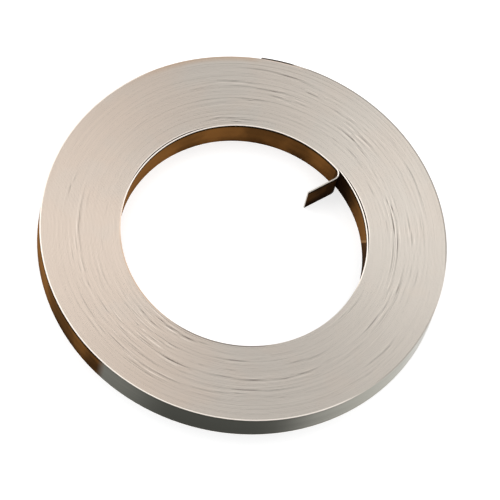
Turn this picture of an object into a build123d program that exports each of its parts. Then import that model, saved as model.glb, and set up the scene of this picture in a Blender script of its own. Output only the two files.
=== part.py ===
from build123d import *
import math
import os

# A coil of flat slit steel strip, lying on its end. It is one continuous strip, so it is one solid.
# Millimetres. +Z is the coil's axis, z = 0 is the end it lies on, and the origin is on the axis.
# Seen from above, the strip runs clockwise from its outer end to its inner end.

# Strip
strip_width = 20.0
strip_thickness = 0.8
edge_round = 0.13
edge_depth = 0.2

# Winding
bore_diameter = 150.0
full_turns = 60
winding_gap = 0.02
outer_end_angle = 98.3

# Inner end: the last turn leaves the wall, bends into the bore and ends in a straight tab
bend_start_angle = 53.8
bend_angle = 98.0
bend_inside_radius = 4.5
tab_length = 19.8

# Derived sizes of the winding, which is a spiral of quarter turns struck from four centres:
# each quarter is a quarter of a pitch smaller than the one before it.
pitch = strip_thickness + winding_gap
quarter_step = pitch / 4
outer_radius = bore_diameter / 2 + strip_thickness + full_turns * pitch
quarters = 4
quarter_angle = 360 / quarters
groove_half = edge_round + winding_gap / 2


def direction(angle):
    """The unit vector at an angle in degrees from +X, seen from above."""
    return Vector(math.cos(math.radians(angle)), math.sin(math.radians(angle)), 0)


def quarter_centre(quarter):
    """The centre that a quarter turn is struck from. The four of them are the corners of a small square."""
    first = (direction(outer_end_angle) - direction(outer_end_angle - quarter_angle)) * (quarter_step / 2)
    steps = [direction(outer_end_angle - quarter_angle * (n + 1)) * quarter_step for n in range(quarter)]
    return sum(steps, first)


def turn_outside(turn, quarter):
    """The outside radius of one turn, measured from the centre of the quarter."""
    return outer_radius - turn * pitch - quarter * quarter_step


def end_outline(turns, quarter):
    """The radius and depth of each corner along one end of the coil, from the bore to the outside.

    Each turn is a flat with its two slit edges rounded off, so that a small groove lies between turns.
    """
    corners = []
    for turn in reversed(turns):
        outside = turn_outside(turn, quarter)
        inside = outside - strip_thickness
        corners.append((inside + edge_round, 0.0))
        corners.append((outside - edge_round, 0.0))
        if turn != turns[0]:
            corners.append((outside + winding_gap / 2, edge_depth))
    return corners


def turned_sector(turns, quarter, from_angle, sweep_angle):
    """Some turns of the winding over one sweep of angle, turned about the centre of their quarter."""
    bore_wall = turn_outside(turns[-1], quarter) - strip_thickness
    outer_wall = turn_outside(turns[0], quarter)
    ends = end_outline(turns, quarter)
    top = [(radius, strip_width - depth) for radius, depth in ends]
    bottom = [(radius, depth) for radius, depth in reversed(ends)]
    section = (
        [(bore_wall, edge_depth), (bore_wall, strip_width - edge_depth)]
        + top
        + [(outer_wall, strip_width - edge_depth), (outer_wall, edge_depth)]
        + bottom
    )
    face = make_face(Polyline(*[(radius, 0, height) for radius, height in section], close=True))
    turned = revolve(face, axis=Axis.Z, revolution_arc=sweep_angle)
    start = from_angle - sweep_angle
    return Pos(quarter_centre(quarter)) * Rot(0, 0, start) * turned


def winding():
    """The four quarters of the whole turns, fused."""
    turns = list(range(full_turns))
    sectors = [
        turned_sector(turns, quarter, outer_end_angle - quarter * quarter_angle, quarter_angle)
        for quarter in range(quarters)
    ]
    return sectors[0] + sectors[1:]


def strip_section(turn):
    """The outline of the strip's own section as (radius, height) corners."""
    outside = turn_outside(turn, 0)
    inside = outside - strip_thickness
    high = strip_width - edge_depth
    return [
        (inside, edge_depth),
        (inside, high),
        (inside + edge_round, strip_width),
        (outside - edge_round, strip_width),
        (outside, high),
        (outside, edge_depth),
        (outside - edge_round, 0.0),
        (inside + edge_round, 0.0),
    ]


def inner_end():
    """The last part turn, the bend and the tab, as one run of the strip's section."""
    turn = full_turns
    centre = quarter_centre(0)
    section = make_face(Polyline(*[(radius, 0, height) for radius, height in strip_section(turn)], close=True))

    # The part turn, which runs clockwise from under the outer end to the start of the bend.
    part_sweep = outer_end_angle - bend_start_angle
    part_turn = revolve(section, axis=Axis.Z, revolution_arc=part_sweep)
    part_turn = Pos(centre) * Rot(0, 0, bend_start_angle) * part_turn

    # A filler in the winding gap joins the part turn to the turn outside it, as in the rest of the winding.
    gap_inside = turn_outside(turn, 0) - edge_round
    gap_outside = turn_outside(turn - 1, 0) - strip_thickness + edge_round
    middle = turn_outside(turn, 0) + winding_gap / 2
    web = [
        (gap_inside, 2 * edge_depth),
        (gap_inside, strip_width - 2 * edge_depth),
        (middle, strip_width - edge_depth),
        (gap_outside, strip_width - 2 * edge_depth),
        (gap_outside, 2 * edge_depth),
        (middle, edge_depth),
    ]
    web_face = make_face(Polyline(*[(radius, 0, height) for radius, height in web], close=True))
    filler = revolve(web_face, axis=Axis.Z, revolution_arc=part_sweep)
    filler = Pos(centre) * Rot(0, 0, bend_start_angle) * filler

    # The bend turns about a point inside the wall, and the tab runs straight on from it.
    bend_centre_radius = turn_outside(turn, 0) - strip_thickness - bend_inside_radius
    bend_place = Pos(centre) * Rot(0, 0, bend_start_angle) * Pos(bend_centre_radius, 0, 0)
    shifted = Pos(-bend_centre_radius, 0, 0) * section
    bend = revolve(shifted, axis=Axis.Z, revolution_arc=-bend_angle)
    bend_end = Rot(0, 0, -bend_angle) * shifted
    heading = direction(-bend_angle - 90)
    tab = extrude(bend_end, amount=tab_length, dir=heading)
    return [part_turn, filler, bend_place * bend, bend_place * tab]


def strip_coil():
    """The whole strip: its winding, fused with its inner end."""
    return winding() + inner_end()


os.makedirs("parts", exist_ok=True)
coil = strip_coil()
export_step(coil, "parts/strip_coil.step")
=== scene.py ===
"""A flat coil of bright slit steel strip, lying on its end on a pale studio floor.

The whole coil is one strip: it starts at its cut outer end, winds clockwise inwards for 60 turns, leaves the bore's
wall and ends in a short bent tab. Lengths are in metres and angles in degrees, anticlockwise from +X seen from above.
"""

import logging
from dataclasses import dataclass, field
from enum import IntEnum
from typing import ClassVar

import bpy
import numpy as np
from bpy.types import Material, Mesh, Node, NodeTree, Object
from mathutils import Matrix, Vector

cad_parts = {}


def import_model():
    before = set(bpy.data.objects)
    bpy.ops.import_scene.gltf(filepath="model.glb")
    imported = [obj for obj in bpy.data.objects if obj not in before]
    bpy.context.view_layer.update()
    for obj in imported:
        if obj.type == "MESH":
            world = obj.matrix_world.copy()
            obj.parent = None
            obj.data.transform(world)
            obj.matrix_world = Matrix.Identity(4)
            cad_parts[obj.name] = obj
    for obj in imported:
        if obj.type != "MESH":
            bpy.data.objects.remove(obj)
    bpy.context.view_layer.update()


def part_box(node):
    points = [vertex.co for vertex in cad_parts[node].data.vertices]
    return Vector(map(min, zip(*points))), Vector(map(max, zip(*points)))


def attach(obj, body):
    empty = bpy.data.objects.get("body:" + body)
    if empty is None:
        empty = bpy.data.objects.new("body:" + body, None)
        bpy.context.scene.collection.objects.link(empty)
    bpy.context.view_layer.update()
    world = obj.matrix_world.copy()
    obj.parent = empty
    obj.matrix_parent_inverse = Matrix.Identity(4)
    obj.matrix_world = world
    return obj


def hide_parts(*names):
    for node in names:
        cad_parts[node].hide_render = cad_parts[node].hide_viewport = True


log = logging.getLogger("steel_coil")

MM = 0.001
CIRCLE = 360.0
QUARTER = CIRCLE / 4
PIECE_NODE = "strip_coil"
PIECE_BODY = "root"
STRIP_MAP = "strip_map"

# The painted light of a slit edge, as the mesh's tone mask holds it: painted shade, plain, and painted highlight.
PAINTED_SHADE_TONE, PLAIN_TONE, PAINTED_HIGHLIGHT_TONE = 0.0, 0.5, 1.0

Array = np.ndarray
Colour = tuple[float, float, float, float]
Pair = tuple[float, float]
Socket = bpy.types.NodeSocket


def unit(angle: Array | float) -> Array:
    """Gives the level unit vector, (cosine, sine), at degrees anticlockwise from +X, along one more axis."""
    turned = np.radians(angle)
    return np.stack([np.cos(turned), np.sin(turned)], axis=-1)


def smooth_step(low: float, high: float, value: Array) -> Array:
    """Rises from 0 at low to 1 at high, level at both ends: t * t * (3 - 2 t), t the share of the way."""
    share = np.clip((value - low) / (high - low), 0.0, 1.0)
    return share * share * (3.0 - 2.0 * share)


def plateau(distance: Array, half_length: float, fade: float) -> Array:
    """Is 1 near a middle, and falls smoothly over the fade to 0 at the half length, on both sides."""
    return 1.0 - smooth_step(half_length - fade, half_length, np.abs(distance))


def arc_distance(angle: Array, middle: float) -> Array:
    """Gives the signed turn from middle to angle, between -180 and 180 degrees."""
    return (angle - middle + CIRCLE / 2) % CIRCLE - CIRCLE / 2


def place_object(name: str, data: bpy.types.ID) -> Object:
    """Makes an object of a mesh, a lamp or a camera, and links it into the scene."""
    made = bpy.data.objects.new(name, data)
    bpy.context.scene.collection.objects.link(made)
    return made


class Zone(IntEnum):
    """The two finishes of the strip, which are also the piece's material slots."""

    ROLLED_FACE = 0
    SLIT_EDGE = 1


@dataclass(frozen=True)
class StripSection:
    """The strip's own section: two flat rolled faces and two slit edges with rounded corners."""

    width: float
    thickness: float = 0.8 * MM
    corner_across: float = 0.07 * MM
    corner_down: float = 0.08 * MM

    CORNERS: ClassVar[int] = 12
    FLAT_STARTS: ClassVar[tuple[int, ...]] = (0, 6)
    OUTER_SIDE: ClassVar[tuple[int, ...]] = (0, 1, 2, 11)
    INNER_SIDE: ClassVar[tuple[int, ...]] = (5, 6, 7, 8)
    OUTER_HALF: ClassVar[tuple[int, ...]] = (0, 1, 2, 3, 10, 11)

    def outline(self) -> Array:
        """Lists the corners of the section, anticlockwise with the outer face on the right.

        Each corner is a quarter ellipse of three points. The second half of the outline is the first half turned
        over: each of its points is (inner, high) less the point six before it.

        Returns:
            An array (points, 2) of the distance outwards from the outer face, and the height above the lower edge.
        """
        inner, high = -self.thickness, self.width
        across, down = self.corner_across, self.corner_down
        bulge = 1.0 - np.sqrt(0.5)
        half = np.array(
            [
                (0.0, down),
                (0.0, high - down),
                (-across * bulge, high - down * bulge),
                (-across, high),
                (inner + across, high),
                (inner + across * bulge, high - down * bulge),
            ]
        )
        return np.vstack([half, (inner, high) - half])

    @staticmethod
    def normals() -> Array:
        """Gives the direction that the surface faces at each corner of the outline: outwards and up."""
        right, up = np.eye(2)
        rising, falling = np.sqrt(0.5) * (right + up), np.sqrt(0.5) * (right - up)
        half = np.array([right, right, rising, up, up, -falling])
        return np.vstack([half, -half])

    @classmethod
    def corners_at(cls, chosen: tuple[int, ...]) -> Array:
        """Marks the chosen corners of the outline."""
        return np.isin(np.arange(cls.CORNERS), chosen)

    def way_round(self) -> Array:
        """Gives the distance round the section at each corner, and the whole way round as the last value."""
        points = self.outline()
        closed = np.vstack([points, points[:1]])
        return np.concatenate([[0.0], np.cumsum(np.hypot(*np.diff(closed, axis=0).T))])


@dataclass(frozen=True)
class Stretch:
    """A stretch of the coil, from one angle anticlockwise to another."""

    start: float
    stop: float

    @property
    def middle(self) -> float:
        """The angle halfway along."""
        return (self.start + self.stop) / 2

    @property
    def half(self) -> float:
        """Half of the angle that the stretch takes up."""
        return (self.stop - self.start) / 2

    def from_middle(self, angle: Array) -> Array:
        """Gives the signed turn from the middle to each angle."""
        return arc_distance(angle, self.middle)


@dataclass(frozen=True)
class LooseWrap(Stretch):
    """A stretch where a turn doesn't lie tight on the one inside it: a real gap opens, and a painted dark line of
    shade shows on the edges.

    The line wanders over its neighbours by the drift, which is a number of turns.
    """

    radius_share: float
    gap: float
    drift: float = 0.8

    LIGHT_OFFSET: ClassVar[float] = 1.5
    # Painted highlight beside the line and painted shade on it, for each metre of gap.
    LIGHT_TONE: ClassVar[float] = 0.60 / MM
    DARK_TONE: ClassVar[float] = 1.05 / MM
    TONE_REACH: ClassVar[float] = 1.35
    TONE_FADE: ClassVar[float] = 0.8

    def offset(self, angle: Array, depth: Array, whole_depth: float) -> Array:
        """Gives how many turns a point at a depth in turns lies inside the line, which swings by the drift."""
        share = self.from_middle(angle) / (2.0 * self.half)
        return depth - (1.0 - self.radius_share) * whole_depth + self.drift * np.sin(2.0 * np.pi * share)

    def tone(self, angle: Array, offset: Array) -> Array:
        """Gives the painted light of the line: painted shade on it, and a painted highlight at the light offset on
        both sides.

        Args:
            angle: Each point's angle.
            offset: How many turns each point lies inside the line.

        Returns:
            What to add to the tone. It grows with the gap.
        """
        reach = self.TONE_REACH * self.half
        along = plateau(self.from_middle(angle), reach, self.TONE_FADE * reach)
        dark = np.maximum(0.0, 1.0 - np.abs(offset))
        light = np.maximum(0.0, 1.0 - np.abs(np.abs(offset) - self.LIGHT_OFFSET))
        return along * self.gap * (self.LIGHT_TONE * light - self.DARK_TONE * dark)


# The loose wraps that show on the coil's end, each a gap with painted shade and highlight lines: from one angle to
# another, at a share of the outside radius, with a gap in millimetres and, for some, a drift.
LOOSE_WRAPS = tuple(
    LooseWrap(start, stop, share, gap * MM, *drift)
    for start, stop, share, gap, *drift in (
        (20, 46, 0.915, 0.16), (12, 24, 0.890, 0.14), (47, 54, 0.933, 0.14), (76, 108, 0.930, 0.20),
        (76, 88, 0.878, 0.18), (54, 67, 0.830, 0.16), (55, 66, 0.805, 0.14), (50, 64, 0.778, 0.18),
        (18, 37, 0.773, 0.16), (-4, 33, 0.756, 0.22, 0.4), (-8, 35, 0.740, 0.22, 0.4), (40, 50, 0.752, 0.14),
        (78, 95, 0.820, 0.17), (80, 92, 0.807, 0.14), (82, 95, 0.790, 0.15), (-16, 10, 0.796, 0.15, 0.4),
        (47, 58, 0.720, 0.16), (95, 117, 0.855, 0.20), (90, 110, 0.825, 0.16), (98, 107, 0.755, 0.14),
        (94, 121, 0.644, 0.22), (100, 118, 0.630, 0.14), (172, 216, 0.808, 0.15, 0.2), (185, 200, 0.806, 0.17),
        (224, 270, 0.876, 0.19), (240, 259, 0.902, 0.16), (236, 258, 0.836, 0.19), (234, 246, 0.812, 0.17),
        (238, 262, 0.778, 0.20), (237, 255, 0.762, 0.18), (236, 246, 0.740, 0.16), (260, 311, 0.787, 0.18),
        (295, 311, 0.785, 0.18), (245, 257, 0.730, 0.16), (245, 258, 0.710, 0.16), (246, 256, 0.696, 0.14),
        (232, 249, 0.670, 0.18), (232, 265, 0.638, 0.16), (230, 270, 0.618, 0.16), (270, 307, 0.842, 0.15),
        (323, 338, 0.902, 0.19, 0.2), (332, 360, 0.798, 0.15), (345, 361, 0.756, 0.15), (299, 316, 0.728, 0.15),
        (324, 350, 0.642, 0.15),
    )
)


@dataclass(frozen=True)
class StreakCluster:
    """A part of the coil's end with many short faint painted streaks of shade and highlight, scattered about one
    angle.
    """

    middle: float
    spread: float
    count: int
    share_low: float
    share_high: float
    half_length: Pair = (4.0, 12.0)
    gap_mm: Pair = (0.05, 0.13)
    drift: Pair = (-1.3, 1.3)


STREAK_CLUSTERS = tuple(
    StreakCluster(*row)
    for row in (
        (246, 15, 110, 0.62, 0.92),
        (285, 20, 44, 0.62, 0.90),
        (104, 12, 22, 0.62, 0.93),
        (64, 16, 64, 0.70, 0.93),
        (18, 18, 40, 0.66, 0.93),
        (200, 18, 30, 0.66, 0.90),
        (335, 16, 24, 0.64, 0.96),
    )
)


def scattered_wraps(seed: int) -> list[LooseWrap]:
    """Scatters the short faint painted streaks of the clusters, with seeded draws.

    Args:
        seed: The seed of the draws.

    Returns:
        The streaks, as loose wraps too slight to open a gap: only painted shade and highlight on the edges.
    """
    draws = np.random.default_rng(seed)
    wraps = []
    for cluster in STREAK_CLUSTERS:
        for _ in range(cluster.count):
            middle, half = draws.normal(cluster.middle, cluster.spread), draws.uniform(*cluster.half_length)
            share = draws.uniform(cluster.share_low, cluster.share_high)
            gap, drift = draws.uniform(*cluster.gap_mm) * MM, draws.uniform(*cluster.drift)
            wraps.append(LooseWrap(middle - half, middle + half, share, gap, drift))
    return wraps


@dataclass(frozen=True)
class Bulge(Stretch):
    """A stretch where the innermost whole turn stands off the winding: into the bore, and with a gap behind it."""

    depth: float
    gap: float
    fade: float

    def share(self, angle: Array) -> Array:
        """Gives how much of the bulge there is at each angle, from 0 to 1."""
        return plateau(self.from_middle(angle), self.half, self.fade)


@dataclass(frozen=True)
class InnerEnd:
    """The strip's inner end: it leaves the bore's wall, bends to the right and ends in a straight tab."""

    leaves_at: float = 53.8
    bend_angle: float = 98.0
    inside_radius: float = 4.5 * MM
    tab_length: float = 19.8 * MM
    bend_steps: int = 16
    tab_steps: int = 3


@dataclass
class StripPath:
    """The stations along the strip, from its outer end to the end of its tab.

    A point of the strip at a station is origin + unit(facing) * (reach + distance outwards from the outer face).
    """

    origin: Array
    facing: Array
    reach: Array
    sink: Array
    progress: Array

    def length_along(self) -> Array:
        """Gives the distance along the strip's outer face from the outer end to each station."""
        line = self.origin + unit(self.facing) * self.reach[:, None]
        return np.concatenate([[0.0], np.cumsum(np.hypot(*np.diff(line, axis=0).T))])


@dataclass
class Winding:
    """The spiral of the strip, struck as quarter turns from four centres, with its loose wraps."""

    section: StripSection
    bore_radius: float = 75.0 * MM
    full_turns: int = 60
    gap: float = 0.02 * MM
    outer_end_angle: float = 98.3
    stations_per_turn: int = 128
    inner_end: InnerEnd = field(default_factory=InnerEnd)
    bulges: tuple[Bulge, ...] = (
        Bulge(2, 56, 0.30 * MM, 0.42 * MM, 18),
        Bulge(114, 174, 0.20 * MM, 0.36 * MM, 18),
    )
    least_gap: float = 0.003 * MM
    play_used: float = 0.92
    opened_share: float = 0.34
    opening_fade: float = 0.7
    inset: float = 0.005 * MM
    shortest_step: float = 0.3
    edge_play: float = 0.16 * MM
    edge_waves: tuple[float, ...] = (0.013, 0.037, 0.21, 0.43, 0.71, 1.37, 2.3, 3.1)
    end_drop: float = 0.04 * MM
    end_drop_arc: float = 12.0
    seed: int = 11

    @property
    def pitch(self) -> float:
        """The step from one turn to the next."""
        return self.section.thickness + self.gap

    @property
    def outer_radius(self) -> float:
        """The outside radius at the strip's outer end."""
        return self.bore_radius + self.section.thickness + self.full_turns * self.pitch

    def clockwise(self, angle: Array | float) -> Array | float:
        """Gives how far an angle lies clockwise of the outer end, from 0 to 360 degrees."""
        return (self.outer_end_angle - angle) % CIRCLE

    def quarter_centre(self, quarter: Array) -> Array:
        """Gives the centre that each quarter turn is struck from, a corner of a square of a quarter pitch.

        Args:
            quarter: The quarter's number in its turn, 0 to 3.

        Returns:
            The centres as (len(quarter), 2).
        """
        step = self.pitch / 4
        first = (unit(self.outer_end_angle) - unit(self.outer_end_angle - QUARTER)) * step / 2
        moves = unit(self.outer_end_angle - QUARTER * np.arange(1, 4)) * step
        centres = np.vstack([first, first + np.cumsum(moves, axis=0)])
        return centres[quarter]

    def gap_between_turns(self) -> Array:
        """Works out the gap inside each turn at each station of it.

        A loose wrap opens a share of its gap, and a bulge the whole of its own. The rest of the play at that
        angle is shared out evenly, so that the bore keeps its size.

        Returns:
            The gaps as (turns, stations of a turn), from the outside inwards.
        """
        stations = np.arange(self.stations_per_turn) * CIRCLE / self.stations_per_turn
        turns = self.full_turns - 1
        progress = np.arange(turns)[:, None] * CIRCLE + stations
        loose = np.zeros_like(progress)
        for wrap in LOOSE_WRAPS:
            behind = self.clockwise(wrap.middle)
            depth = self.outer_radius * (1.0 - wrap.radius_share) / self.pitch
            turn = round(depth - 1.0 - behind / CIRCLE)
            middle = np.clip(turn, 0, turns - 1) * CIRCLE + behind
            opened = plateau(progress - middle, wrap.half, self.opening_fade * wrap.half)
            loose += self.opened_share * wrap.gap * opened
        for bulge in self.bulges:
            loose[-1] += bulge.gap * bulge.share(self.outer_end_angle - stations)
        play = turns * self.gap
        most = self.play_used * (play - turns * self.least_gap)
        loose *= np.minimum(1.0, most / np.maximum(loose.sum(axis=0), 1e-9))
        return loose + (play - loose.sum(axis=0)) / turns

    def turn_shift(self) -> Array:
        """Works out how far each turn lies outside its place on an even spiral.

        It is the inset, the other way, less what the gaps outside the turn have beyond the even gap.

        Returns:
            The shifts as (turns + 1, stations of a turn).
        """
        gaps = self.gap_between_turns()
        shift = np.full((self.full_turns + 1, self.stations_per_turn), -self.inset)
        shift[1:-1] -= np.cumsum(gaps - self.gap, axis=0)
        return shift

    def edge_sink(self, progress: Array) -> Array:
        """Works out how far the strip's top edge lies below the coil's end, along the strip.

        It is a sum of waves along the strip with seeded phases: long ones that several turns share, and short
        ones that set each turn off from the next. The outer end has a drop of its own.

        Args:
            progress: Degrees along the strip from its outer end.

        Returns:
            The sink in metres, from 0 to the play.
        """
        draws = np.random.default_rng(self.seed)
        waves = np.zeros_like(progress)
        for cycles_per_turn in self.edge_waves:
            phase, strength = draws.uniform(0, CIRCLE), draws.uniform(0.5, 1.0)
            waves += strength * np.cos(np.radians(progress * cycles_per_turn + phase))
        level = (waves - waves.min()) / np.ptp(waves)
        dropped = 1.0 - smooth_step(0.5 * self.end_drop_arc, self.end_drop_arc, progress)
        return self.edge_play * level * (1.0 - dropped) + self.end_drop * dropped

    def wound_part(self) -> StripPath:
        """Lays out the stations from the outer end to where the strip leaves the bore's wall.

        The strip's outer face at progress p is at the quarter's centre plus, in the direction of the outer end's
        angle less p, the outside radius less a quarter pitch for each quarter passed, plus the turn's shift.

        Returns:
            The path of the wound part.
        """
        last = self.full_turns * CIRCLE + self.clockwise(self.inner_end.leaves_at)
        step = CIRCLE / self.stations_per_turn
        progress = np.append(np.arange(0.0, last - self.shortest_step * step, step), last)
        turn = (progress // CIRCLE).astype(int)
        behind = progress - turn * CIRCLE
        quarter = (behind // QUARTER).astype(int)
        station = np.minimum(np.round(behind / step).astype(int), self.stations_per_turn - 1)
        shift = self.turn_shift()[turn, station]
        angle = self.outer_end_angle - behind
        last_whole = progress >= (self.full_turns - 1) * CIRCLE
        for bulge in self.bulges:
            shift = shift - bulge.depth * bulge.share(angle) * (last_whole & (turn < self.full_turns))
        reach = self.outer_radius - turn * self.pitch - quarter * self.pitch / 4 + shift
        return StripPath(self.quarter_centre(quarter), angle, reach, self.edge_sink(progress), progress)

    def bent_part(self, wound: StripPath) -> StripPath:
        """Lays out the bend, an arc to the right about a point inside the wall, and the straight tab after it.

        The progress goes on by the bend's angle, and then by one degree for each millimetre of the tab.

        Args:
            wound: The path that the bend goes on from.

        Returns:
            The path of the bend and the tab, without its first station.
        """
        end = self.inner_end
        start_angle = wound.facing[-1]
        wall = wound.reach[-1] - self.section.thickness - end.inside_radius
        pivot = wound.origin[-1] + unit(start_angle) * wall
        turned = end.bend_angle * np.arange(1, end.bend_steps + 1) / end.bend_steps
        last_facing = start_angle - end.bend_angle
        run = end.tab_length * np.arange(1, end.tab_steps + 1) / end.tab_steps
        tab_origin = pivot + unit(last_facing - QUARTER) * run[:, None]
        count = end.bend_steps + end.tab_steps
        facing = np.concatenate([start_angle - turned, np.full(end.tab_steps, last_facing)])
        origin = np.vstack([np.tile(pivot, (end.bend_steps, 1)), tab_origin])
        reach = np.full(count, end.inside_radius + self.section.thickness)
        progress = wound.progress[-1] + np.concatenate([turned, end.bend_angle + run / MM])
        return StripPath(origin, facing, reach, np.full(count, wound.sink[-1]), progress)

    def path(self) -> StripPath:
        """Joins the wound part, the bend and the tab into the path of the whole strip."""
        wound = self.wound_part()
        bent = self.bent_part(wound)
        return StripPath(*(np.concatenate(pair) for pair in zip(vars(wound).values(), vars(bent).values())))


@dataclass(frozen=True)
class Patch(Stretch):
    """A stretch with painted reflection and shade on a wall, or with painted light and orange on an edge. It fades in
    and out at its two ends.
    """

    strength: float
    fade_in: float
    fade_out: float

    def share(self, angle: Array) -> Array:
        """Gives the patch's strength at each angle: its own, times how far it has faded in and not yet out."""
        from_start, length = self.from_middle(angle) + self.half, 2.0 * self.half
        faded_in = smooth_step(0.0, self.fade_in, from_start)
        faded_out = smooth_step(length - self.fade_out, length, from_start)
        return self.strength * faded_in * (1.0 - faded_out)


def add_up(patches: tuple[Patch, ...], angle: Array) -> Array:
    """Adds up several patches at each angle."""
    return sum((patch.share(angle) for patch in patches), np.zeros_like(angle))


@dataclass
class PaintedLightPatches:
    """Where films lie on the strip's two walls, and where its edges have another shade, by angle round the coil.

    A painted reflection's value is how dark it is. A rim's tone is its painted light beyond the plain tone.
    """

    # Painted reflection of a brown surface on the outermost wall, and how dark it is.
    brown_outside: tuple[Patch, ...] = (Patch(138, 241.5, 1, 46, 1),)
    reflection_outside: float = 0.26
    # Painted shade in the outer wall's reflection, darker from the left round to the front.
    darker_outside: tuple[Patch, ...] = (
        Patch(199, 270, 0.31, 24, 10),
        Patch(230, 270, 0.12, 10, 10),
    )
    # The bore's painted brown reflection, with painted shade and lighter parts.
    reflection_inside: float = 0.415
    darker_inside: tuple[Patch, ...] = (
        Patch(10, 40, -0.14, 4, 18),
        Patch(62, 113, 0.12, 12, 1),
        Patch(126, 210, -0.26, 30, 10),
    )
    # Painted shade behind the tab.
    behind_tab: Patch = Patch(26, 84, 0.42, 20, 10)
    reflection_between: float = 0.60
    reflection_bend_inside: float = 0.62
    reflection_bend_outside: Pair = (0.95, 0.76)
    # Painted grey shade on the front of the outer wall.
    grey_shade_outside: tuple[Patch, ...] = (
        Patch(225, 330, 0.78, 8, 44),
        Patch(246, 306, 0.22, 18, 14),
    )
    # Painted highlight and painted shade along the outer rim.
    rim_tone: tuple[Patch, ...] = (
        Patch(2, 96, -0.24, 8, 8),
        Patch(126, 322, 0.46, 14, 14),
        Patch(318, 358, -0.15, 10, 10),
    )
    # Painted warm reflection on the outer rim.
    rim_orange: tuple[Patch, ...] = (Patch(98, 146, 0.58, 1, 24),)
    # Painted highlight and painted shade along the bore's rim.
    bore_rim_tone: tuple[Patch, ...] = (
        Patch(-20, 205, 0.45, 15, 15),
        Patch(242, 302, -0.26, 14, 14),
    )
    # Orange along the bore's rim.
    bore_rim_orange: tuple[Patch, ...] = (Patch(172, 252, 0.55, 20, 20),)

    # The walls of the bore and its rim run over the strip's last turns. The turn beside the bulges gets a painted
    # highlight. The painted warm reflection on the outer rim fades inwards.
    bore_wall_turns: float = 1.1
    bore_rim_turns: float = 0.87
    beside_bulge_tone: float = 0.26
    orange_reach: float = 1.3
    orange_fall: float = 0.25
    # The strip's outer end: how far along it is in painted shade, and the painted light and orange of the turn beside
    # it.
    end_shade: float = 0.8
    beside_end_tones: Pair = (0.12, PAINTED_HIGHLIGHT_TONE)
    beside_end_orange: float = 0.25


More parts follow.
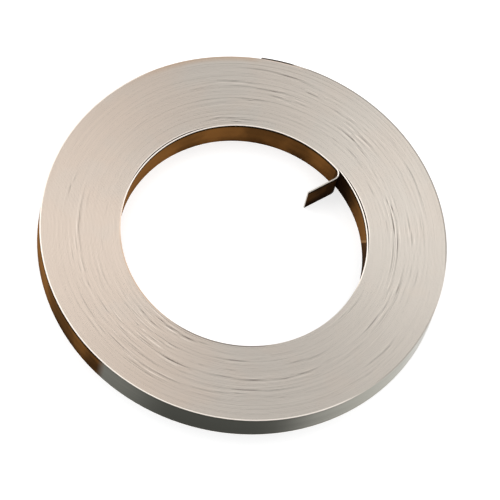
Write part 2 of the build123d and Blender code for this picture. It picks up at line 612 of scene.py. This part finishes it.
@dataclass
class SteelCoil:
    """The coil itself: one strip swept along its whole path, with its two finishes."""

    section: StripSection
    winding: Winding
    painted_light: PaintedLightPatches = field(default_factory=PaintedLightPatches)
    name: str = "coiled_strip"

    def sweep(self, path: StripPath) -> tuple[Array, Array]:
        """Carries the section along the path.

        The point of a station and a corner is the station's origin plus its facing direction times (reach + the
        corner's distance outwards), at the corner's height plus the edge play less the station's sink.

        Args:
            path: The stations.

        Returns:
            The positions and the surface directions, both as (stations, corners, 3).
        """
        outline, facing = self.section.outline(), unit(path.facing)
        radial = path.reach[:, None] + outline[None, :, 0]
        level = path.origin[:, None, :] + facing[:, None, :] * radial[..., None]
        height = outline[None, :, 1] + (self.winding.edge_play - path.sink)[:, None]
        places = np.concatenate([level, height[..., None]], axis=-1)
        normals = self.section.normals()
        flat = facing[:, None, :] * normals[None, :, :1]
        rise = np.broadcast_to(normals[None, :, 1:], (len(path.facing), len(outline), 1))
        return places, np.concatenate([flat, rise], axis=-1)

    @staticmethod
    def quads(stations: int, corners: int) -> Array:
        """Numbers the four corners of each face of the swept grid, closed round the section."""
        along, round_ = np.meshgrid(np.arange(stations - 1), np.arange(corners), indexing="ij")
        after = (round_ + 1) % corners
        here, there = along * corners, (along + 1) * corners
        return np.stack([here + round_, here + after, there + after, there + round_], axis=-1).reshape(-1, 4)

    def wall_masks(self, path: StripPath) -> dict[str, Array]:
        """Works out the painted brown reflection and the painted shade on the strip's rolled faces, for each station
        and corner.

        Args:
            path: The stations.

        Returns:
            Three masks (stations, corners): cover, where the painted brown reflection lies; film, how dark it is; and
            oil, how much of the painted grey shade there is.
        """
        painted_light, angle = self.painted_light, path.facing % CIRCLE
        outer_side = self.section.corners_at(self.section.OUTER_SIDE)
        inner_side = self.section.corners_at(self.section.INNER_SIDE)
        whole = self.winding.full_turns * CIRCLE
        outermost = path.progress < CIRCLE
        bent = path.progress > whole + self.winding.clockwise(self.winding.inner_end.leaves_at)
        in_bore = path.progress > whole - painted_light.bore_wall_turns * CIRCLE
        # Painted brown reflection on the walls, whose darkness holds painted shade, and painted grey shade on the
        # front of the outer wall.
        cover_out = np.where(outermost, add_up(painted_light.brown_outside, angle), 1.0)
        reflection_out = painted_light.reflection_outside + add_up(painted_light.darker_outside, angle)
        reflection_out = np.where(outermost, reflection_out, painted_light.reflection_between)
        bend_reflection = np.interp(path.progress, path.progress[bent][[0, -1]], painted_light.reflection_bend_outside)
        reflection_out = np.where(bent, bend_reflection, reflection_out)
        reflection_in = painted_light.reflection_inside + add_up(painted_light.darker_inside, angle)
        reflection_in += painted_light.behind_tab.share(angle) * (path.progress < whole)
        reflection_in = np.where(bent, painted_light.reflection_bend_inside, np.where(in_bore, reflection_in, painted_light.reflection_between))
        grey_shade_out = np.where(outermost, add_up(painted_light.grey_shade_outside, angle), 0.0)
        return {
            "cover": cover_out[:, None] * outer_side + inner_side,
            "film": reflection_out[:, None] * outer_side + reflection_in[:, None] * inner_side,
            "oil": grey_shade_out[:, None] * outer_side,
        }

    def edge_masks(self, path: StripPath) -> dict[str, Array]:
        """Works out the painted highlight, painted shade and orange of the strip's slit edges, for each station and
        corner.

        Args:
            path: The stations.

        Returns:
            Three masks, (stations, corners) or (stations, 1): tone, the painted light; turn, how many turns lie
            outside; and rust.
        """
        painted_light, winding, progress = self.painted_light, self.winding, path.progress
        angle, depth = path.facing % CIRCLE, progress / CIRCLE
        whole_depth = winding.outer_radius / winding.pitch
        tone = np.full(len(angle), PLAIN_TONE)
        # Painted shade on the loose wraps' lines, with painted highlights beside them.
        for wrap in (*LOOSE_WRAPS, *scattered_wraps(winding.seed)):
            tone += wrap.tone(angle, wrap.offset(angle, depth, whole_depth))
        # Painted highlight on the turn beside the bulges.
        beside_bulge = sum(bulge.share(angle) for bulge in winding.bulges) * (depth > winding.full_turns - 2)
        tone += painted_light.beside_bulge_tone * beside_bulge
        # Painted highlight and painted shade along the outer rim, and then along the bore's rim.
        tone = np.where(progress < CIRCLE, PLAIN_TONE + add_up(painted_light.rim_tone, angle), tone)
        bore_rim = progress > (winding.full_turns - painted_light.bore_rim_turns) * CIRCLE
        tone = np.where(bore_rim, PLAIN_TONE + add_up(painted_light.bore_rim_tone, angle), tone)
        # Painted warm reflection on the outer rim, fading inwards, and orange along the bore's rim.
        rust = add_up(painted_light.rim_orange, angle) * np.clip(painted_light.orange_reach - painted_light.orange_fall * depth, 0.0, 1.0)
        rust += add_up(painted_light.bore_rim_orange, angle) * bore_rim

        # Painted shade on the outer end's edge; on the turn beside it, painted shade on the outer half and a painted
        # highlight on the inner half.
        end_arc = winding.end_drop_arc
        shaded_end = smooth_step(painted_light.end_shade * end_arc, end_arc, progress)
        tone = np.where(progress < end_arc, shaded_end, tone)
        tone = np.repeat(tone[:, None], self.section.CORNERS, axis=1)
        beside_end = np.abs(progress - CIRCLE - end_arc / 2) < end_arc / 2
        outer_tone, inner_tone = painted_light.beside_end_tones
        tone[beside_end] = np.where(self.section.corners_at(self.section.OUTER_HALF), outer_tone, inner_tone)
        rust = np.where(beside_end, painted_light.beside_end_orange, rust)
        return {"tone": tone, "turn": depth[:, None], "rust": rust[:, None]}

    def build(self) -> Object:
        """Makes the mesh of the whole strip, with its map, its masks and its smooth directions.

        Returns:
            The new object, at the origin.
        """
        path = self.winding.path()
        places, normals = self.sweep(path)
        stations, corners = places.shape[:2]
        faces = self.quads(stations, corners)
        start_cap = list(range(corners))[::-1]
        end_cap = [(stations - 1) * corners + j for j in range(corners)]
        mesh = bpy.data.meshes.new(self.name)
        mesh.from_pydata(places.reshape(-1, 3), [], faces.tolist() + [start_cap, end_cap])
        flat = self.section.corners_at(self.section.FLAT_STARTS)
        zones = np.where(flat, Zone.ROLLED_FACE, Zone.SLIT_EDGE)
        zones = np.append(np.tile(zones, stations - 1), [Zone.SLIT_EDGE, Zone.SLIT_EDGE])
        mesh.polygons.foreach_set("material_index", zones.astype(np.int32))
        self.lay_map(mesh, path, corners)
        for name, mask in {**self.wall_masks(path), **self.edge_masks(path)}.items():
            layer = mesh.attributes.new(name, "FLOAT", "POINT")
            layer.data.foreach_set("value", np.broadcast_to(mask, (stations, corners)).astype(np.float32).ravel())
        smooth = np.ones(len(mesh.polygons), bool)
        smooth[-2:] = False
        mesh.polygons.foreach_set("use_smooth", smooth)
        corner_vertex = np.empty(len(mesh.loops), np.int32)
        mesh.loops.foreach_get("vertex_index", corner_vertex)
        corner_normals = normals.reshape(-1, 3)[corner_vertex]
        caps = 2 * corners
        ahead = unit(path.facing - QUARTER)
        corner_normals[-caps:-corners] = (*(-ahead[0]), 0.0)
        corner_normals[-corners:] = (*ahead[-1], 0.0)
        mesh.normals_split_custom_set(corner_normals.tolist())
        mesh.update()
        coil = place_object(self.name, mesh)
        log.info("%s: %.2f m of strip, %d faces", self.name, path.length_along()[-1], len(mesh.polygons))
        return coil

    def lay_map(self, mesh: Mesh, path: StripPath, corners: int) -> None:
        """Gives the mesh a map with the length along the strip, and the distance round its section, in metres.

        Args:
            mesh: The swept mesh.
            path: The stations.
            corners: The number of corners of the section.
        """
        length, way = path.length_along(), self.section.way_round()
        along = np.stack([length[:-1], length[:-1], length[1:], length[1:]], axis=-1)
        across = np.stack([way[:-1], way[1:], way[1:], way[:-1]], axis=-1)
        grid = np.empty((len(length) - 1, corners, 4, 2))
        grid[..., 0] = along[:, None, :]
        grid[..., 1] = across[None, :, :]
        outline = self.section.outline()
        cap = outline - outline.min(axis=0)
        values = np.vstack([grid.reshape(-1, 2), cap[::-1], cap])
        mesh.uv_layers.new(name=STRIP_MAP).uv.foreach_set("vector", values.astype(np.float32).ravel())

    def declare(self, coil: Object) -> None:
        """Hangs the piece on its body, and hides the frame's part that it stands in for."""
        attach(coil, PIECE_BODY)
        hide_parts(PIECE_NODE)


class NodeSheet:
    """Lays nodes into a node tree, with short calls for what the finishes need.

    What a call is given for an input is either a socket, to link, or a plain value.
    """

    def __init__(self, tree: NodeTree) -> None:
        """Keeps the tree and empties it."""
        self.tree = tree
        tree.nodes.clear()

    def node(self, kind: str, **settings: object) -> Node:
        """Adds a node and sets its properties."""
        made = self.tree.nodes.new(kind)
        for name, value in settings.items():
            setattr(made, name, value)
        return made

    def join(self, source: object, target: Socket) -> None:
        """Links a socket to an input, or writes a plain value into it."""
        if isinstance(source, Socket):
            self.tree.links.new(source, target)
        else:
            target.default_value = source

    def fill(self, node: Node, **values: object) -> Node:
        """Fills a node's inputs by name, with underscores read as spaces."""
        for name, value in values.items():
            self.join(value, node.inputs[name.replace("_", " ")])
        return node

    def result(self, kind: str, values: tuple[object, ...], **settings: object) -> Socket:
        """Adds a node, fills its inputs in their order and gives its first output."""
        made = self.node(kind, **settings)
        for socket, given in zip(made.inputs, values):
            self.join(given, socket)
        return made.outputs[0]

    def math(self, operation: str, *values: object, clamp: bool = False) -> Socket:
        """Adds a Math node on up to three values and gives its result."""
        return self.result("ShaderNodeMath", values, operation=operation, use_clamp=clamp)

    def spread(self, value: object, low: float, high: float, to_low: float, to_high: float) -> Socket:
        """Maps a value smoothly from one range to another."""
        values = (value, low, high, to_low, to_high)
        return self.result("ShaderNodeMapRange", values, interpolation_type="SMOOTHSTEP")

    def blend(self, share: object, first: object, second: object) -> Socket:
        """Mixes two colours."""
        made = self.node("ShaderNodeMix", data_type="RGBA")
        for index, given in ((0, share), (6, first), (7, second)):
            self.join(given, made.inputs[index])
        return made.outputs[2]

    def scale(self, vector: object, share: object) -> Socket:
        """Multiplies a vector or a colour by one value."""
        made = self.node("ShaderNodeVectorMath", operation="SCALE")
        self.join(vector, made.inputs[0])
        return self.fill(made, Scale=share).outputs[0]

    def attribute(self, name: str) -> Socket:
        """Reads one of the mesh's masks."""
        return self.node("ShaderNodeAttribute", attribute_name=name).outputs["Fac"]

    def noise(self, place: object, detail: float, roughness: float) -> Socket:
        """Adds noise at a place and gives its value."""
        made = self.node("ShaderNodeTexNoise")
        return self.fill(made, Vector=place, Scale=1.0, Detail=detail, Roughness=roughness).outputs["Fac"]

    def bump(self, height: object, strength: float, distance: float) -> Socket:
        """Adds a fine relief and gives its surface direction."""
        made = self.node("ShaderNodeBump")
        return self.fill(made, Height=height, Strength=strength, Distance=distance).outputs[0]

    def vector(self, x: object, y: object) -> Socket:
        """Puts two values together as a vector with no height."""
        return self.result("ShaderNodeCombineXYZ", (x, y))

    def parts(self, vector: object) -> tuple[Socket, ...]:
        """Takes a vector apart into three values."""
        return tuple(self.fill(self.node("ShaderNodeSeparateXYZ"), Vector=vector).outputs)

    def coordinates(self) -> tuple[Socket, Socket]:
        """Gives the object's own coordinates and the strip's map."""
        strip_map = self.node("ShaderNodeUVMap", uv_map=STRIP_MAP)
        return self.node("ShaderNodeTexCoord").outputs["Object"], strip_map.outputs[0]

    def group(self, tree: NodeTree, **values: object) -> Node:
        """Places a shared group and fills its inputs by name."""
        return self.fill(self.node("ShaderNodeGroup", node_tree=tree), **values)


def open_finish(name: str) -> tuple[Material, NodeSheet, Node]:
    """Starts a material with its shader.

    Args:
        name: The material's name.

    Returns:
        The material, its sheet and its shader.
    """
    material = bpy.data.materials.new(name)
    material.use_nodes = True
    sheet = NodeSheet(material.node_tree)
    shader = sheet.node("ShaderNodeBsdfPrincipled")
    sheet.join(shader.outputs[0], sheet.node("ShaderNodeOutputMaterial").inputs[0])
    return material, sheet, shader


def open_effect(
    name: str, vector: str, values: dict[str, float], outputs: tuple[str, ...]
) -> tuple[NodeTree, NodeSheet, Node, Node]:
    """Starts a node group, which is built once for all the finishes.

    Args:
        name: The group's name.
        vector: The name of its vector input.
        values: Its other inputs, with what they hold at first.
        outputs: The names of its outputs.

    Returns:
        The group, its sheet, its input node and its output node.
    """
    group = bpy.data.node_groups.new(name, "ShaderNodeTree")
    group.interface.new_socket(vector, in_out="INPUT", socket_type="NodeSocketVector")
    for label, value in values.items():
        group.interface.new_socket(label, in_out="INPUT", socket_type="NodeSocketFloat").default_value = value
    for label in outputs:
        group.interface.new_socket(label, in_out="OUTPUT", socket_type="NodeSocketFloat")
    sheet = NodeSheet(group)
    return group, sheet, sheet.node("NodeGroupInput"), sheet.node("NodeGroupOutput")


def rolling_grain() -> NodeTree:
    """Builds the fine lines that rolling and slitting leave along the strip.

    The pattern is noise stretched along the strip's length. The streaks are three fifths broad lines and two
    fifths fine lines.

    Returns:
        The group: Map, Length Scale and Lines Across in; Height and Streak out.
    """
    values = {"Length Scale": 14.0, "Lines Across": 9000.0}
    group, sheet, given, result = open_effect("rolling_grain", "Map", values, ("Height", "Streak"))
    along, across, _ = sheet.parts(given.outputs["Map"])
    along = sheet.math("MULTIPLY", along, given.outputs["Length Scale"])
    across = sheet.math("MULTIPLY", across, given.outputs["Lines Across"])
    broad_share, broad_along, broad_across = 0.6, 0.4, 0.09
    fine = sheet.noise(sheet.vector(along, across), detail=3.0, roughness=0.65)
    broad_place = sheet.vector(
        sheet.math("MULTIPLY", along, broad_along), sheet.math("MULTIPLY", across, broad_across)
    )
    broad = sheet.noise(broad_place, detail=2.0, roughness=0.5)
    fine_part = sheet.math("MULTIPLY", fine, 1.0 - broad_share)
    sheet.fill(result, Height=fine, Streak=sheet.math("MULTIPLY_ADD", broad, broad_share, fine_part))
    return group


def handling_marks() -> NodeTree:
    """Builds soft smudges, from noise on the object's own coordinates.

    Returns:
        The group: Place and Size in; Smudge out.
    """
    group, sheet, given, result = open_effect("handling_marks", "Place", {"Size": 40.0}, ("Smudge",))
    clean, smudged = 0.42, 0.68
    soft = sheet.noise(sheet.scale(given.outputs["Place"], given.outputs["Size"]), detail=3.0, roughness=0.55)
    sheet.fill(result, Smudge=sheet.spread(soft, clean, smudged, 0.0, 1.0))
    return group


@dataclass(frozen=True)
class RolledFace:
    """The strip's bright rolled faces, with a painted brown reflection in the bore and on part of the outside.

    The painted reflected edge in the bore is a light slanting line, with darker painted reflection clockwise of it.
    """

    steel: Colour = (0.43, 0.425, 0.38, 1.0)
    # Painted grey shade for the front of the outer wall.
    grey_shade_colour: Colour = (0.035, 0.037, 0.032, 1.0)
    # The painted brown reflection, from light to dark.
    light_brown: Colour = (0.355, 0.155, 0.040, 1.0)
    dark_brown: Colour = (0.024, 0.011, 0.005, 1.0)
    # The painted dark line of shade along the top of the walls.
    edge_line: Colour = (0.010, 0.007, 0.005, 1.0)
    # The light line of the painted reflected edge.
    reflected_edge_colour: Colour = (0.64, 0.42, 0.22, 1.0)
    grazing: Colour = (0.74, 0.73, 0.70, 1.0)
    lines_across: float = 4200.0
    length_scale: float = 16.0
    smudge_size: float = 38.0
    streak_range: Pair = (0.35, 0.65)
    brushed: Pair = (0.88, 1.08)
    reflection_streaks: float = 0.25
    reflection_smudges: float = -0.22
    reflection_range: Pair = (0.15, 1.0)
    # Painted shade: darker towards the wall's lower edge, over this height.
    lower_part: float = 9.0 * MM
    lower_shade: Pair = (0.10, -0.02)
    brown_metallic: float = 0.02
    brown_shine: float = 0.0
    # Where the painted dark line of shade under the rim fades in, below the top, and its strength.
    rim_line: Pair = (2.9 * MM, 1.7 * MM)
    rim_strength: float = 0.92
    rim_on_grey_shade: float = 0.35
    roughness: float = 0.12
    rough_change: float = 0.10
    relief: Pair = (0.25, 0.002 * MM)
    # The painted reflected edge in the bore: its place, its slant, and the darker painted reflection clockwise of it.
    reflected_edge_angle: float = 12.5
    reflected_edge_slant: float = 0.38 / MM
    reflected_edge_radius: float = 76.5 * MM
    reflected_edge_darker: float = 0.40
    reflected_edge_side: Pair = (-0.5, 0.3)
    reflected_edge_dark_end: Pair = (-50.0, -38.0)
    reflected_edge_line: float = 0.42
    reflected_edge_line_middle: float = 0.6
    reflected_edge_line_fade: Pair = (0.2, 0.8)

    def build(self, grain: NodeTree, marks: NodeTree, width: float) -> Material:
        """Builds the material.

        Args:
            grain: The shared rolling grain.
            marks: The shared handling marks.
            width: The strip's width.

        Returns:
            The material.
        """
        material, sheet, shader = open_finish("bright_rolled_face")
        place, strip_map = sheet.coordinates()
        lines = sheet.group(grain, Map=strip_map, Lines_Across=self.lines_across, Length_Scale=self.length_scale)
        streak = lines.outputs["Streak"]
        smudge = sheet.group(marks, Place=place, Size=self.smudge_size).outputs["Smudge"]
        height = sheet.parts(place)[2]

        # How dark the painted brown reflection is: its mask, with streaks, smudges, painted shade darker towards the
        # lower part, and the painted reflected edge.
        film = sheet.attribute("film")
        for pattern, strength in ((streak, self.reflection_streaks), (smudge, self.reflection_smudges)):
            film = sheet.math("MULTIPLY_ADD", sheet.math("SUBTRACT", pattern, 0.5), strength, film)
        film = sheet.math("ADD", film, sheet.spread(height, 0.0, self.lower_part, *self.lower_shade))
        darker, line = self.reflected_edge(sheet, place, width)
        film = sheet.math("ADD", film, darker)

        cover, oil = sheet.attribute("cover"), sheet.attribute("oil")
        bright = sheet.scale(self.steel[:3], sheet.spread(streak, *self.streak_range, *self.brushed))
        # Painted grey shade, then the painted brown reflection, then the light line of the reflected edge.
        base = sheet.blend(oil, bright, self.grey_shade_colour)
        brown = sheet.blend(sheet.spread(film, *self.reflection_range, 0.0, 1.0), self.light_brown, self.dark_brown)
        base = sheet.blend(line, sheet.blend(cover, base, brown), self.reflected_edge_colour)
        # Painted dark line of shade along the top of the walls.
        low, high = (width - below for below in self.rim_line)
        shade_line_share = sheet.math("MAXIMUM", cover, sheet.math("MULTIPLY", oil, self.rim_on_grey_shade))
        rim = sheet.math("MULTIPLY", sheet.spread(height, low, high, 0.0, self.rim_strength), shade_line_share)
        rough = sheet.math("MULTIPLY_ADD", smudge, self.rough_change, self.roughness - self.rough_change / 2)
        sheet.fill(
            shader,
            Base_Color=sheet.blend(rim, base, self.edge_line),
            Metallic=sheet.spread(cover, 0.0, 1.0, 1.0, self.brown_metallic),
            Specular_Tint=self.grazing,
            Specular_IOR_Level=self.brown_shine,
            Roughness=sheet.math("MULTIPLY_ADD", streak, self.rough_change, rough),
            Normal=sheet.bump(lines.outputs["Height"], *self.relief),
        )
        return material

    def reflected_edge(self, sheet: NodeSheet, place: Socket, width: float) -> tuple[Socket, Socket]:
        """Lays the painted reflected edge in the bore's painted reflection.

        The turn from the reflected edge is the angle, less its angle at the upper edge, less the slant times the
        depth below that edge.

        Args:
            sheet: The material's nodes.
            place: The object's own coordinates.
            width: The strip's width.

        Returns:
            How much darker the painted reflection is, and the strength of the painted light line.
        """
        x, y, height = sheet.parts(place)
        angle = sheet.math("MULTIPLY", sheet.math("ARCTAN2", y, x), 180.0 / np.pi)
        at_bottom = self.reflected_edge_angle + width * self.reflected_edge_slant
        from_reflected_edge = sheet.math("MULTIPLY_ADD", height, self.reflected_edge_slant, sheet.math("SUBTRACT", angle, at_bottom))
        radius = sheet.math("SQRT", sheet.math("MULTIPLY_ADD", x, x, sheet.math("MULTIPLY", y, y)))
        in_bore = sheet.spread(radius, self.reflected_edge_radius, self.reflected_edge_radius + MM, 1.0, 0.0)
        clockwise = sheet.spread(from_reflected_edge, *self.reflected_edge_side, self.reflected_edge_darker, 0.0)
        before_end = sheet.spread(angle, *self.reflected_edge_dark_end, 0.0, 1.0)
        darker = sheet.math("MULTIPLY", in_bore, sheet.math("MULTIPLY", clockwise, before_end))
        from_line = sheet.math("ABSOLUTE", sheet.math("SUBTRACT", from_reflected_edge, self.reflected_edge_line_middle))
        line = sheet.spread(from_line, *self.reflected_edge_line_fade, self.reflected_edge_line, 0.0)
        return darker, sheet.math("MULTIPLY", in_bore, line)


@dataclass(frozen=True)
class SlitEdge:
    """The strip's slit edges, which make up the coil's two ends: satin, warm and a little different each turn.

    The edges carry painted warm light on one side of the coil: the share of the cool colour goes from the first cool
    share to the second over the painted warm light's range, and the smudges add random tone to it.
    """

    warm: Colour = (0.640, 0.544, 0.466, 1.0)
    cool: Colour = (0.605, 0.555, 0.499, 1.0)
    # Painted highlight and painted shade for the edges, and the orange of the rims.
    painted_highlight: Colour = (0.98, 0.90, 0.82, 1.0)
    painted_shade: Colour = (0.022, 0.011, 0.005, 1.0)
    rim_orange_colour: Colour = (0.60, 0.41, 0.27, 1.0)
    lines_across: float = 9000.0
    length_scale: float = 30.0
    smudge_size: float = 24.0
    # Painted warm light: its side, and the range over which it fades.
    warm_light_side: Pair = (-0.94, -0.34)
    warm_light_range: Pair = (-0.03, 0.11)
    cool_shares: Pair = (0.80, -0.25)
    cool_smudges: float = 0.45
    turn_pattern: Pair = (9.0, 7.3)
    turn_range: Pair = (0.30, 0.70)
    turn_shades: Pair = (0.97, 1.018)
    roughness: float = 0.44
    rough_change: float = 0.08
    relief: Pair = (0.3, 0.004 * MM)
    brushing: float = 0.5

    def build(self, grain: NodeTree, marks: NodeTree) -> Material:
        """Builds the material.

        Args:
            grain: The shared rolling grain.
            marks: The shared handling marks.

        Returns:
            The material.
        """
        material, sheet, shader = open_finish("slit_edge")
        place, strip_map = sheet.coordinates()
        lines = sheet.group(grain, Map=strip_map, Lines_Across=self.lines_across, Length_Scale=self.length_scale)
        smudge = sheet.group(marks, Place=place, Size=self.smudge_size).outputs["Smudge"]

        # Painted warm light on one side; the smudges add random tone.
        x, y, _ = sheet.parts(place)
        to_x, to_y = self.warm_light_side
        towards = sheet.math("MULTIPLY_ADD", x, to_x, sheet.math("MULTIPLY", y, to_y))
        cool_side = sheet.spread(towards, *self.warm_light_range, *self.cool_shares)
        cool_share = sheet.math("MULTIPLY_ADD", smudge, self.cool_smudges, cool_side, clamp=True)
        base = sheet.blend(cool_share, self.warm, self.cool)

        along, turn = sheet.parts(strip_map)[0], sheet.attribute("turn")
        pattern = (sheet.math("MULTIPLY", value, scale) for value, scale in zip((along, turn), self.turn_pattern))
        by_turn = sheet.noise(sheet.vector(*pattern), detail=2.0, roughness=0.6)
        base = sheet.scale(base, sheet.spread(by_turn, *self.turn_range, *self.turn_shades))
        # Painted highlight and painted shade, from the tone mask.
        tone = sheet.attribute("tone")
        base = sheet.blend(sheet.spread(tone, PLAIN_TONE, PAINTED_HIGHLIGHT_TONE, 0.0, 1.0), base, self.painted_highlight)
        base = sheet.blend(sheet.spread(tone, PAINTED_SHADE_TONE, PLAIN_TONE, 1.0, 0.0), base, self.painted_shade)

        rough = self.roughness - self.rough_change / 2
        sheet.fill(
            shader,
            Base_Color=sheet.blend(sheet.attribute("rust"), base, self.rim_orange_colour),
            Metallic=1.0,
            Anisotropic=self.brushing,
            Anisotropic_Rotation=0.25,
            Tangent=sheet.node("ShaderNodeTangent", direction_type="UV_MAP", uv_map=STRIP_MAP).outputs[0],
            Roughness=sheet.math("MULTIPLY_ADD", lines.outputs["Streak"], self.rough_change, rough),
            Normal=sheet.bump(lines.outputs["Height"], *self.relief),
        )
        return material


@dataclass(frozen=True)
class SoftBox:
    """A square studio lamp that points at the coil."""

    name: str
    place: tuple[float, float, float]
    size: float
    power: float


@dataclass
class Studio:
    """The pale floor, the soft lamps, the even surroundings and the camera of the photograph."""

    floor_radius: float = 9.0
    floor_rings: int = 6
    floor_spokes: int = 64
    floor_colour: Colour = (0.66, 0.66, 0.66, 1.0)
    floor_glow: float = 0.66
    sky: float = 0.80
    lamps: tuple[SoftBox, ...] = (
        SoftBox("right_softbox", (1.08, 1.54, 1.50), 1.9, 13.5),
        SoftBox("left_softbox", (-1.20, 0.70, 1.96), 1.9, 13.5),
    )
    # The camera, worked out by fitting the coil's two rims: its distance and height angle, its roll, and how far
    # it looks past the coil's middle.
    camera_distance: float = 2.1865
    camera_height: float = 61.613
    camera_roll: float = 15.161
    camera_pan: float = -0.0938
    camera_tilt: float = -0.2608
    camera_lens: float = 259.2
    camera_sensor: float = 36.0

    def build_floor(self) -> None:
        """Makes the round floor with its finish.

        The points are the middle, and rings whose radius grows evenly. Triangles fill the first ring.
        """
        rings, spokes = self.floor_rings, self.floor_spokes
        radius = np.linspace(self.floor_radius / rings, self.floor_radius, rings)
        angle = np.arange(spokes) * CIRCLE / spokes
        level = (radius[:, None, None] * unit(angle)[None]).reshape(-1, 2)
        places = np.vstack([np.zeros((1, 3)), np.column_stack([level, np.zeros(len(level))])])
        spoke = np.arange(spokes)
        after = (spoke + 1) % spokes
        faces = np.column_stack([np.zeros(spokes, int), 1 + spoke, 1 + after]).tolist()
        for inner in range(1, 1 + (rings - 1) * spokes, spokes):
            outer = inner + spokes
            faces += np.column_stack([inner + spoke, outer + spoke, outer + after, inner + after]).tolist()
        mesh = bpy.data.meshes.new("floor")
        mesh.from_pydata(places, [], faces)
        floor = place_object("floor", mesh)
        mesh.materials.append(self.floor_finish())

    def floor_finish(self) -> Material:
        """Builds the floor's finish: a matt pale surface with an even glow that only the picture's rays see.

        Returns:
            The material.
        """
        material = bpy.data.materials.new("pale_floor")
        material.use_nodes = True
        sheet = NodeSheet(material.node_tree)
        matt = sheet.fill(sheet.node("ShaderNodeBsdfDiffuse"), Color=self.floor_colour)
        rays = sheet.node("ShaderNodeLightPath")
        seen = sheet.math("MAXIMUM", rays.outputs["Is Camera Ray"], rays.outputs["Is Glossy Ray"])
        seen = sheet.math("MAXIMUM", seen, rays.outputs["Is Transmission Ray"])
        strength = sheet.math("MULTIPLY", seen, self.floor_glow)
        glow = sheet.fill(sheet.node("ShaderNodeEmission"), Strength=strength)
        both = sheet.result("ShaderNodeAddShader", (matt.outputs[0], glow.outputs[0]))
        sheet.join(both, sheet.node("ShaderNodeOutputMaterial").inputs[0])
        return material

    def build_sky(self) -> None:
        """Lights the scene evenly from all round, and shows white to the camera."""
        world = bpy.data.worlds.new("studio")
        world.use_nodes = True
        bpy.context.scene.world = world
        sheet = NodeSheet(world.node_tree)
        rays = sheet.node("ShaderNodeLightPath")
        seen = sheet.math("MAXIMUM", rays.outputs["Is Camera Ray"], rays.outputs["Is Transmission Ray"])
        strength = sheet.result("ShaderNodeMapRange", (seen, 0.0, 1.0, self.sky, 1.0))
        background = sheet.fill(sheet.node("ShaderNodeBackground"), Strength=strength)
        sheet.join(background.outputs[0], sheet.node("ShaderNodeOutputWorld").inputs[0])

    def hang_lamps(self) -> None:
        """Places the lamps and turns each to the coil."""
        for box in self.lamps:
            lamp = bpy.data.lights.new(box.name, "AREA")
            lamp.size = box.size
            lamp.energy = box.power
            holder = place_object(box.name, lamp)
            holder.location = box.place
            holder.rotation_euler = (-Vector(box.place)).to_track_quat("-Z", "Y").to_euler()

    def place_camera(self, top: float) -> None:
        """Sets up the camera at the photograph's place, looking down at the coil's upper end.

        Args:
            top: The height of the coil's upper end.
        """
        lens = bpy.data.cameras.new("photo_camera")
        lens.lens = self.camera_lens
        lens.sensor_width = self.camera_sensor
        lens.clip_end = 50.0
        camera = place_object("photo_camera", lens)
        height = np.radians(self.camera_height)
        back = Vector((0.0, -np.cos(height), np.sin(height)))
        right = Vector((1.0, 0.0, 0.0))
        axes = Matrix((right, back.cross(right), back)).transposed()
        turn = Matrix.Identity(3)
        for degrees, axis in ((self.camera_roll, "Z"), (self.camera_pan, "Y"), (self.camera_tilt, "X")):
            turn @= Matrix.Rotation(np.radians(degrees), 3, axis)
        place = back * self.camera_distance + Vector((0.0, 0.0, top))
        camera.matrix_world = Matrix.Translation(place) @ (axes @ turn).to_4x4()
        bpy.context.scene.camera = camera


def main() -> None:
    """Builds the coil inside the frame, dresses it, and sets up the studio round it."""
    logging.basicConfig(level=logging.INFO, format="%(message)s")
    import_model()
    low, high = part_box(PIECE_NODE)
    height = high.z - low.z
    play = Winding.edge_play
    section = StripSection(width=height - play)
    winding = Winding(section)
    coil = SteelCoil(section, winding)
    piece = coil.build()
    grain, marks = rolling_grain(), handling_marks()
    piece.data.materials.append(RolledFace().build(grain, marks, height))
    piece.data.materials.append(SlitEdge().build(grain, marks))
    coil.declare(piece)
    studio = Studio()
    studio.build_floor()
    studio.build_sky()
    studio.hang_lamps()
    studio.place_camera(high.z)
    scene = bpy.context.scene
    scene.view_settings.view_transform = "Standard"
    bpy.context.view_layer.update()


if __name__ == "__main__":
    main()
